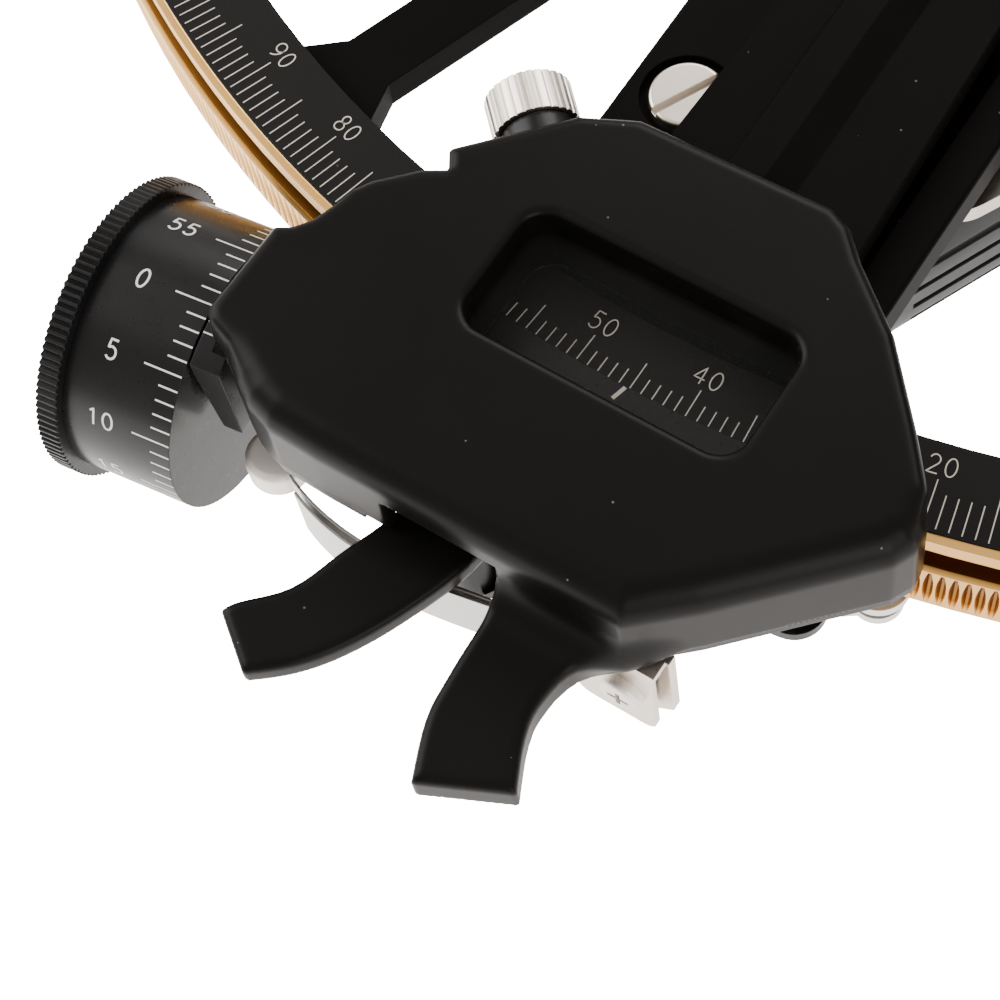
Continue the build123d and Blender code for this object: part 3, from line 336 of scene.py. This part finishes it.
def plastic_material(name, colour, rough, grain_scale, relief, specular=0.5):
    """Moulded plastic or rubber with a fine moulded grain."""
    shade = Shader(name, Specular_IOR_Level=specular)
    cloud = shade.noise(120.0, 4.0, 0.6)
    shade.colour(shade.mix(cloud, colour, tuple(c * 1.35 + 0.003 for c in colour)))
    shade.roughness(shade.spread(shade.noise(400.0, 3.0), rough - 0.05, rough + 0.08))
    shade.bump(shade.noise(grain_scale, 2.0, 0.5), relief, 0.00004, 0.0003)
    return shade.material


def glass_material(name, colour, alpha, rough=0.02, specular=0.7):
    """Thin tinted glass with a trace of dust in its gloss."""
    shade = Shader(name, Alpha=alpha, IOR=1.5, Specular_IOR_Level=specular)
    cloud = shade.noise(50.0, 4.0, 0.6)
    shade.colour(shade.mix(cloud, colour, tuple(min(1.0, c * 1.12 + 0.004) for c in colour)))
    shade.roughness(shade.spread(shade.noise(200.0, 4.0), rough, rough + 0.04))
    return shade.material


def mirror_material():
    """Silvered glass with a faint haze."""
    shade = Shader("silvered_glass", Metallic=1.0)
    cloud = shade.noise(70.0, 4.0)
    shade.colour(shade.mix(cloud, (0.86, 0.88, 0.88), (0.94, 0.95, 0.95)))
    shade.roughness(shade.spread(shade.noise(300.0, 4.0), 0.01, 0.05))
    return shade.material


def ink_material(name, colour):
    """Filled engraving: matt paint that is a little uneven."""
    shade = Shader(name, Specular_IOR_Level=0.2)
    cloud = shade.noise(700.0, 3.0, 0.6)
    shade.colour(shade.mix(cloud, tuple(c * 0.82 for c in colour), colour))
    shade.roughness(shade.spread(shade.noise(900.0, 2.0), 0.6, 0.8))
    return shade.material


BLACK = (0.0030, 0.0025, 0.0022)


def make_materials():
    return {
        "black_paint": paint_material("black_paint", BLACK, 0.33),
        "casting_paint": paint_material("casting_paint", BLACK, 0.45, specular=0.025),
        "satin_nickel": metal_material("satin_nickel", (0.95, 0.90, 0.84), 0.55),
        "arc_bronze": arc_material(),
        "black_anodised": anodised_material("black_anodised", (0.0042, 0.004, 0.0042), 0.28),
        "nickel": metal_material("nickel", (0.86, 0.77, 0.67), 0.30),
        "steel": metal_material("steel", (0.62, 0.60, 0.57), 0.34, (1, 1, 6)),
        "brass": metal_material("brass", (0.80, 0.60, 0.32), 0.30),
        "mirror": mirror_material(),
        "lens_glass": glass_material("lens_glass", (0.10, 0.12, 0.16), 0.55),
        "pane": glass_material("pane", (0.2, 0.2, 0.2), 0.02, specular=0.15),
        "dark_shade": glass_material("dark_shade", (0.012, 0.03, 0.018), 0.93),
        "mid_shade": glass_material("mid_shade", (0.05, 0.065, 0.045), 0.85),
        "amber_shade": glass_material("amber_shade", (0.42, 0.16, 0.02), 0.8),
        "pale_shade": glass_material("pale_shade", (0.20, 0.23, 0.19), 0.6),
        "grip_plastic": plastic_material("grip_plastic", (0.014, 0.014, 0.0145), 0.42, 2600.0, 0.35),
        "button_red": plastic_material("button_red", (0.42, 0.02, 0.015), 0.28, 900.0, 0.06),
        "black_rubber": plastic_material("black_rubber", (0.012, 0.012, 0.012), 0.62, 3200.0, 0.4, 0.3),
        "cell_wrap": plastic_material("cell_wrap", (0.05, 0.13, 0.30), 0.25, 900.0, 0.05),
    }


def dress_frame(materials):
    """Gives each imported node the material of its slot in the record."""
    for entry in frame["record"]["subparts"]:
        node = frame["nodes"][entry["node"]]
        node.data.materials.clear()
        node.data.materials.append(materials[entry["material_slot"]])


# ---------------------------------------------------------------- smooth castings
def segments_distance(x, y, outline):
    """Signed distance in plan to a closed outline, negative inside."""
    best = np.full(np.broadcast(x, y).shape, 1e9)
    inside = np.zeros(best.shape, bool)
    for (ax, ay), (bx, by) in zip(outline, outline[1:] + outline[:1]):
        ex, ey = bx - ax, by - ay
        px, py = x - ax, y - ay
        along = np.clip((px * ex + py * ey) / (ex * ex + ey * ey), 0, 1)
        best = np.minimum(best, np.hypot(px - ex * along, py - ey * along))
        crosses = (ay > y) != (by > y)
        level = np.where(by == ay, 1e-9, by - ay)
        inside ^= crosses & (x < ex * (y - ay) / level + ax)
    return np.where(inside, -best, best)


def curve_through(points, corners=(), steps=5):
    """Closed smooth outline through the points, with a break in direction at the named corners."""
    count = len(points)
    outline = []
    for i in range(count):
        p = [np.array(points[(i + k) % count], float) for k in (-1, 0, 1, 2)]
        if i in corners:
            p[0] = p[1]
        if (i + 1) % count in corners:
            p[3] = p[2]
        for s in range(steps):
            t = s / steps
            point = 0.5 * (2 * p[1] + (p[2] - p[0]) * t
                           + (2 * p[0] - 5 * p[1] + 4 * p[2] - p[3]) * t ** 2
                           + (3 * p[1] - p[0] - 3 * p[2] + p[3]) * t ** 3)
            outline.append(tuple(point))
    return outline


def round_max(a, b, radius):
    """Intersection of two solids whose common edge is rounded."""
    u, v = np.maximum(a + radius, 0), np.maximum(b + radius, 0)
    return np.minimum(np.maximum(a, b), -radius) + np.hypot(u, v)


def round_min(a, b, radius):
    """Union of two solids with a fillet between them."""
    return -round_max(-a, -b, radius)


def plate_field(plan, z, low, high, top_round, bottom_round=0.3):
    """A plate over a plan outline, with rounded top and bottom edges."""
    return round_max(round_max(plan, z - high, top_round), low - z, bottom_round)


def surface_of(field, low, high, step):
    """Mesh of the zero surface of a field over a box: one point in each cell that it crosses."""
    counts = [int(math.ceil((b - a) / step)) + 1 for a, b in zip(low, high)]
    axes = [a + step * np.arange(n) for a, n in zip(low, counts)]
    grid = field(axes[0][:, None, None], axes[1][None, :, None], axes[2][None, None, :])
    grid = np.broadcast_to(grid, counts)
    filled = grid < 0
    shape = tuple(n - 1 for n in counts)

    def corner(array, offset):
        return array[tuple(slice(o, o + n) for o, n in zip(offset, shape))]

    total = np.zeros(shape + (3,))
    crossings = np.zeros(shape)
    for axis in range(3):
        for first in range(4):
            start = [0, 0, 0]
            others = [a for a in range(3) if a != axis]
            start[others[0]], start[others[1]] = first & 1, first >> 1
            end = list(start)
            end[axis] = 1
            a, b = corner(grid, start), corner(grid, end)
            cross = (a < 0) != (b < 0)
            part = np.where(cross, a / np.where(cross, a - b, 1.0), 0.0)
            for k in range(3):
                total[..., k] += np.where(cross, start[k] + (part if k == axis else 0.0), 0.0)
            crossings += cross
    active = crossings > 0
    index = np.full(shape, -1)
    index[active] = np.arange(active.sum())
    cells = np.argwhere(active)
    points = (cells + total[active] / crossings[active][:, None]) * step + np.array(low)
    faces = []
    for axis in range(3):
        others = [a for a in range(3) if a != axis]
        lower, upper = [slice(None)] * 3, [slice(None)] * 3
        lower[axis], upper[axis] = slice(0, -1), slice(1, None)
        change = filled[tuple(lower)] != filled[tuple(upper)]
        for place in np.argwhere(change):
            if place[others[0]] == 0 or place[others[1]] == 0:
                continue
            ring = []
            for du, dv in ((-1, -1), (0, -1), (0, 0), (-1, 0)):
                cell = place.copy()
                cell[others[0]] += du
                cell[others[1]] += dv
                ring.append(index[tuple(cell)])
            outward = filled[tuple(place)]
            if (axis == 1) == bool(outward):
                ring.reverse()
            faces.append(ring)
    return settle(points, field, step), faces


def settle(points, field, step):
    """Moves the points onto the surface along the field's gradient."""
    small = 0.02
    for _ in range(3):
        x, y, z = points.T
        here = field(x, y, z)
        slope = np.stack([field(x + small, y, z) - here, field(x, y + small, z) - here,
                          field(x, y, z + small) - here], 1) / small
        length = np.maximum((slope ** 2).sum(1), 0.25)
        move = -(here / length)[:, None] * slope
        points = points + np.clip(move, -0.4 * step, 0.4 * step)
    return points


# The cover, the levers and the drum repeat the driving dimensions of the CAD part.
WORM_ANGLE = math.radians(6.98)
ALONG = np.array([math.cos(WORM_ANGLE), math.sin(WORM_ANGLE), 0.0])
OUTWARD = np.array([math.sin(WORM_ANGLE), -math.cos(WORM_ANGLE), 0.0])
DRUM_EDGE_POINT = np.array([-41.87, -174.27, -9.4])
DRUM_R = 16.41
ZERO_MARK = 2.94

COVER_OUTLINE = [
    (-39.7, -165.4), (-39.9, -177.3), (-38.9, -178.7), (-35.9, -180.0), (-32.9, -182.4),
    (-30.4, -183.9), (-27.0, -184.9), (-21.0, -185.1), (16.5, -184.9), (22.6, -179.4),
    (33.9, -167.7), (36.2, -165.3), (37.4, -162.8), (37.2, -160.6), (35.6, -157.6),
    (31.3, -152.3), (23.9, -143.9), (16.6, -138.0), (13.6, -135.0), (11.0, -133.8),
    (-12.6, -134.4), (-18.8, -137.3), (-28.8, -147.8), (-27.4, -150.0), (-29.8, -151.4),
    (-33.7, -155.2), (-35.1, -157.4), (-35.7, -160.0), (-36.6, -162.6), (-38.0, -164.4),
]
COVER_TOP, COVER_WALL, COVER_ROOF = 12.0, 1.6, 1.8
CRISP_ROUND, SOFT_ROUND, WINDOW_ROUND = 1.3, 3.8, 0.8
WINDOW_X, WINDOW_HALF, WINDOW_LOW, WINDOW_HIGH, WINDOW_CORNER = 0.4, 17.2, -165.3, -149.0, 3.5
NOTCH_LEFT, NOTCH_RIGHT, NOTCH_TOP = -12.6, 3.9, 6.0
ARM_STEP_Y = -136.0
ARM_SLOT_HALF, ARM_SLOT_TOP = 13.2, 1.3
RIB_SLOT_X, RIB_SLOT_HALF, RIB_SLOT_TOP = -1.1, 4.7, 2.95
RACK_SLOT_R, RACK_SLOT_TOP = 163.2, 0.3
OVERHANG, OVERHANG_TOP = 5.23, 8.0
FIXED_LEVER_LOW, FIXED_LEVER_HIGH, FIXED_LEVER_FILLET = -3.6, 1.0, 4.5
RELEASE_LEVER_LOW, RELEASE_LEVER_HIGH = -3.4, -0.4
RELEASE_POST, RELEASE_POST_R = (-8.4, -179.2), 2.9
RELEASE_POST_MIDDLE, RELEASE_POST_HALF = -10.6, 7.2
SURFACE_STEP = 0.42
FIXED_LEVER = [
    (11.2, -174.0), (5.6, -174.0), (1.6, -182.8), (1.5, -187.2), (1.9, -195.2), (2.6, -200.8),
    (5.2, -207.3), (15.0, -202.7), (12.5, -197.3), (11.8, -193.3), (12.9, -188.2), (17.6, -181.5),
]
RELEASE_LEVER = [
    (-23.2, -201.7), (-22.3, -200.0), (-18.3, -195.6), (-16.1, -189.5), (-13.9, -183.3),
    (-13.2, -176.0), (-3.2, -176.0), (-3.5, -183.6), (-6.5, -192.3), (-9.7, -198.6),
    (-13.0, -202.9), (-17.0, -206.3),
]


def window_plan(x, y):
    """Signed distance in plan to the window's rounded rectangle."""
    middle = (WINDOW_LOW + WINDOW_HIGH) / 2
    half = (WINDOW_HIGH - WINDOW_LOW) / 2
    u = np.abs(x - WINDOW_X) - WINDOW_HALF + WINDOW_CORNER
    v = np.abs(y - middle) - half + WINDOW_CORNER
    outside = np.hypot(np.maximum(u, 0), np.maximum(v, 0))
    return outside + np.minimum(np.maximum(u, v), 0) - WINDOW_CORNER


def cover_block(plan, x, y, z):
    """Outer block of the cover, its top edge softer towards the levers and the lower right."""
    crisp = plate_field(plan, z, 0.0, COVER_TOP, CRISP_ROUND)
    soft = plate_field(plan, z, 0.0, COVER_TOP, SOFT_ROUND)
    share = np.clip(np.maximum((-y - 177.0) / 5.0, (0.725 * x - 0.69 * y - 133.5) / 5.0), 0, 1)
    return crisp + (soft - crisp) * share * share * (3 - 2 * share)


def cover_hollow(plan, well, z):
    """Space inside the cover, around the collar that holds the window."""
    hollow = np.maximum(plan + COVER_WALL, z - (COVER_TOP - COVER_ROOF))
    hollow = np.maximum(hollow, -4.5 - z)
    collar = np.maximum(well - COVER_WALL, 0.9 - z)
    return np.maximum(hollow, -collar)


def lever_notch(lever_plan, x, y, z):
    """Opening in the cover's lower wall for the release lever, clear of the fixed one."""
    middle, half = (NOTCH_LEFT + NOTCH_RIGHT) / 2, (NOTCH_RIGHT - NOTCH_LEFT) / 2
    gap = np.maximum(np.abs(x - middle) - half,
                     np.maximum(z - NOTCH_TOP, np.abs(y + 181.0) - 10.0))
    gap = np.maximum(gap, -4.2 - z)
    return np.maximum(gap, -(lever_plan - 0.05))


def rack_slot(x, y, z):
    """Room over the arc's rack, and under the overhang next to the drum."""
    slot = np.maximum(np.hypot(x, y) - RACK_SLOT_R, z - RACK_SLOT_TOP)
    along = (x - DRUM_EDGE_POINT[0]) * ALONG[0] + (y - DRUM_EDGE_POINT[1]) * ALONG[1]
    return np.minimum(slot, np.maximum(along - OVERHANG, z - OVERHANG_TOP))


def arm_slot(x, y, z):
    """Room for the arm and its rib in the cover's upper wall."""
    beyond = ARM_STEP_Y - y
    arm = np.maximum(np.abs(x) - ARM_SLOT_HALF, np.maximum(z - ARM_SLOT_TOP, beyond))
    rib = np.maximum(np.abs(x - RIB_SLOT_X) - RIB_SLOT_HALF, np.maximum(z - RIB_SLOT_TOP, beyond))
    return np.minimum(arm, rib)


def cover_field():
    """Cast cover: rounded block, fixed lever, window well, slots and hollow inside."""
    lever_outline = curve_through(FIXED_LEVER, corners=(0, 1, 6, 7))

    def field(x, y, z):
        plan = segments_distance(x, y, COVER_OUTLINE)
        lever_plan = segments_distance(x, y, lever_outline)
        well = window_plan(x, y)
        lever = plate_field(lever_plan, z, FIXED_LEVER_LOW, FIXED_LEVER_HIGH, 1.0, 0.6)
        shell = round_min(cover_block(plan, x, y, z), lever, FIXED_LEVER_FILLET)
        shell = np.maximum(shell, -cover_hollow(plan, well, z))
        shell = round_max(shell, -(well + 0.25), WINDOW_ROUND)
        shell = round_max(shell, -lever_notch(lever_plan, x, y, z), 0.3)
        shell = np.maximum(shell, -rack_slot(x, y, z))
        return np.maximum(shell, -arm_slot(x, y, z))

    return field


def make_cover(material):
    low, high = (-43, -209.5, -4.8), (38.5, -131.5, 13.6)
    points, faces = surface_of(cover_field(), low, high, SURFACE_STEP)
    cover = mesh_from("cast_cover", to_metres(points), faces)
    cover.data.materials.append(material)
    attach(cover, "index_arm")
    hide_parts("micrometer_cover")


def make_release_lever(material):
    """Release lever with the post that joins it to the carriage plate."""
    outline = curve_through(RELEASE_LEVER, corners=(5, 6, 0, 11))
    post_x, post_y = RELEASE_POST

    def field(x, y, z):
        plan = segments_distance(x, y, outline)
        plate = plate_field(plan, z, RELEASE_LEVER_LOW, RELEASE_LEVER_HIGH, 0.8, 0.5)
        post = np.maximum(np.hypot(x - post_x, y - post_y) - RELEASE_POST_R,
                          np.abs(z - RELEASE_POST_MIDDLE) - RELEASE_POST_HALF)
        return np.minimum(plate, post)

    points, faces = surface_of(field, (-25, -208, -18.4), (-2, -175, 0.4), SURFACE_STEP)
    lever = mesh_from("squeeze_lever", to_metres(points), faces)
    lever.data.materials.append(material)
    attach(lever, "carriage")
    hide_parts("release_lever")


# ---------------------------------------------------------------- engraved marks
def bend(cx, cy, rx, ry, start, end, count=14):
    """Points along part of an ellipse, between two angles in degrees."""
    turns = np.radians(np.linspace(start, end, count))
    return [(cx + rx * math.cos(t), cy + ry * math.sin(t)) for t in turns]


# Each digit is a list of paths in a cell 0.6 wide and 1 high.
DIGITS = {
    "0": [bend(0.3, 0.5, 0.27, 0.5, 90, 450, 25)],
    "1": [[(0.14, 0.82), (0.34, 1.0), (0.34, 0.0)]],
    "2": [bend(0.3, 0.72, 0.25, 0.28, 165, -40) + [(0.03, 0.0), (0.58, 0.0)]],
    "3": [bend(0.29, 0.76, 0.22, 0.24, 150, -90) + bend(0.29, 0.26, 0.27, 0.26, 90, -150)],
    "4": [[(0.43, 0.0), (0.43, 1.0), (0.02, 0.3), (0.6, 0.3)]],
    "5": [[(0.53, 1.0), (0.13, 1.0), (0.09, 0.55)] + bend(0.28, 0.32, 0.28, 0.32, 128, -145)],
    "6": [bend(0.56, 0.42, 0.53, 0.58, 105, 190, 8) + bend(0.3, 0.3, 0.28, 0.3, 180, 540, 22)],
    "7": [[(0.02, 1.0), (0.57, 1.0), (0.2, 0.0)]],
    "8": [bend(0.3, 0.76, 0.21, 0.24, -90, 270, 20), bend(0.3, 0.26, 0.27, 0.26, 90, 450, 22)],
    "9": [bend(0.04, 0.58, 0.53, 0.58, -75, 10, 8) + bend(0.3, 0.7, 0.28, 0.3, 0, 360, 22)],
}
DIGIT_STEP, DIGIT_WIDTH = 0.86, 0.6
INDEX_PLATE_TOP = 0.9


class Strokes:
    """Collects thin raised strokes, drawn in flat coordinates that a placing function wraps."""

    def __init__(self, lift=0.02, sink=0.05):
        self.points, self.faces = [], []
        self.lift, self.sink = lift, sink

    def stroke(self, path, width, place):
        """A bar of rectangular section along a flat path."""
        path = self.divided([np.array(p, float) for p in path])
        start = len(self.points)
        for i, here in enumerate(path):
            before = path[i - 1] if i else here
            after = path[i + 1] if i + 1 < len(path) else here
            along = after - before
            along = along / np.hypot(*along)
            side = np.array([-along[1], along[0]]) * width / 2
            for offset, depth in ((side, self.lift), (-side, self.lift),
                                  (-side, -self.sink), (side, -self.sink)):
                self.points.append(place(*(here + offset), depth))
        for i in range(len(path) - 1):
            a, b = start + 4 * i, start + 4 * (i + 1)
            for k in range(4):
                n = (k + 1) % 4
                self.faces.append((a + k, b + k, b + n, a + n))
        last = start + 4 * (len(path) - 1)
        self.faces.append((start, start + 1, start + 2, start + 3))
        self.faces.append((last + 3, last + 2, last + 1, last))

    @staticmethod
    def divided(path, longest=0.4):
        """The path with its long straights cut up, so that they follow a curved surface."""
        result = [path[0]]
        for a, b in zip(path, path[1:]):
            count = max(1, math.ceil(np.hypot(*(b - a)) / longest))
            result += [a + (b - a) * k / count for k in range(1, count + 1)]
        return result

    def number(self, text, centre, size, width, place):
        """A number centred on a flat point."""
        span = (len(text) - 1) * DIGIT_STEP + DIGIT_WIDTH
        for k, digit in enumerate(text):
            for path in DIGITS[digit]:
                placed = [(centre[0] + (px + k * DIGIT_STEP - span / 2) * size,
                           centre[1] + (py - 0.5) * size) for px, py in path]
                self.stroke(placed, width, place)

    def piece(self, name, material, body):
        """All strokes as one mesh that rides a body."""
        piece = mesh_from(name, to_metres(self.points), self.faces, smooth=False)
        piece.data.materials.append(material)
        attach(piece, body)
        return piece


def arc_place(reading):
    """Flat axes at a reading: x along the arc, y towards the pivot from the tick's outer end."""
    angle = math.radians(-90 - (reading - READING_AT_REST) / 2)

    def place(x, y, depth):
        turn = angle + x / NUMERAL_SPREAD_R
        radius = SCALE_OUTER_R - y
        return (radius * math.cos(turn), radius * math.sin(turn), depth)

    return place


def mark_arc(material):
    """A tick at each degree of reading, longer at each fifth, and a number at each tenth."""
    marks = Strokes()
    for reading in range(-5, 126):
        place = arc_place(reading)
        inner = LONG_TICK_INNER_R if reading % 5 == 0 else TICK_INNER_R
        marks.stroke([(0, 0), (0, SCALE_OUTER_R - inner)], 0.13, place)
        if reading % 10 == 0:
            centre = (0, SCALE_OUTER_R - NUMERAL_R)
            marks.number(str(abs(reading)), centre, NUMERAL_HEIGHT, 0.155, place)
    marks.piece("arc_scale", material, "frame")


def drum_place(minutes, radius=DRUM_R):
    """Flat axes at a minute mark: x along the drum to its inner edge, y against rising minutes."""
    def place(x, y, depth):
        turn = math.radians(ZERO_MARK + 6.0 * minutes) - y / radius
        out = (radius + depth) * (math.sin(turn) * OUTWARD + math.cos(turn) * np.array([0, 0, 1.0]))
        return tuple(DRUM_EDGE_POINT + ALONG * x + out)

    return place


def mark_drum(material):
    """Sixty minute marks around the drum, longer and numbered at each fifth."""
    marks = Strokes()
    for minute in range(60):
        place = drum_place(minute)
        reach = 4.78 if minute % 5 == 0 else 2.44
        marks.stroke([(-reach, 0), (-0.05, 0)], 0.2, place)
        if minute % 5 == 0:
            marks.number(str(minute), (-8.9, 0), NUMERAL_HEIGHT, 0.26, place)
    marks.piece("drum_scale", material, "drum")


def mark_vernier(material):
    """Six lines beside the drum, 0.8 of a minute apart."""
    marks = Strokes()
    for k in range(6):
        place = drum_place(0.8 * k - 2.2)
        marks.stroke([(0.35, 0), (2.05, 0)], 0.17, place)
    marks.piece("vernier_scale", material, "carriage")


def mark_index(material):
    """The index line on the plate under the window."""
    marks = Strokes(lift=0.02, sink=0.02)

    def place(x, y, depth):
        return (x, y, INDEX_PLATE_TOP + depth)

    marks.stroke([(-0.15, -158.45), (-0.65, -160.25)], 0.45, place)
    marks.piece("index_mark", material, "index_arm")


# ---------------------------------------------------------------- making
set_camera()
light_studio()
make_floor()
materials = make_materials()
dress_frame(materials)
make_cover(materials["black_paint"])
make_release_lever(materials["black_paint"])
cream = ink_material("cream_ink", (0.62, 0.58, 0.50))
white = ink_material("white_ink", (0.78, 0.76, 0.72))
mark_arc(cream)
mark_drum(white)
mark_vernier(white)
mark_index(cream)
